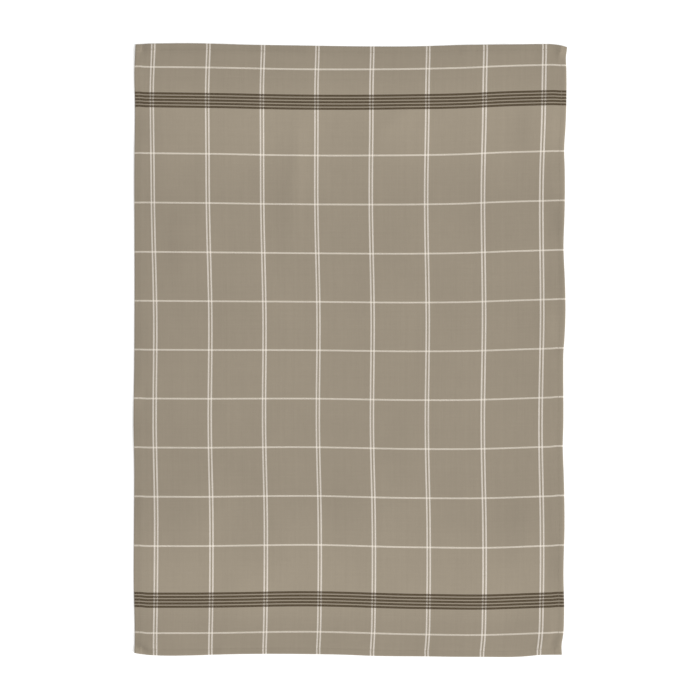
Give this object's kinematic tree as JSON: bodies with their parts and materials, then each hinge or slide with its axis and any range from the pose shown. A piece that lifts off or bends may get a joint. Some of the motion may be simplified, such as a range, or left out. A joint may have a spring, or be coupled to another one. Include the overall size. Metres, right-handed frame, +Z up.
{
  "type": "tea towel",
  "caption": "Flat rectangular woven cotton tea towel with a windowpane check, dark stripe bands near its ends and narrow turned hems, laid out face up.",
  "frame": {"origin": "on the surface the cloth lies on, under the middle of its bounding box", "axes": "+X across the cloth, +Y along it towards the end shown at the top, +Z up out of its face"},
  "size_m": [0.4988, 0.7058, 0.004],
  "materials": {
    "cotton": "matte plain weave"
  },
  "bodies": {
    "root": {"towel": "cotton"}
  },
  "joints": []
}
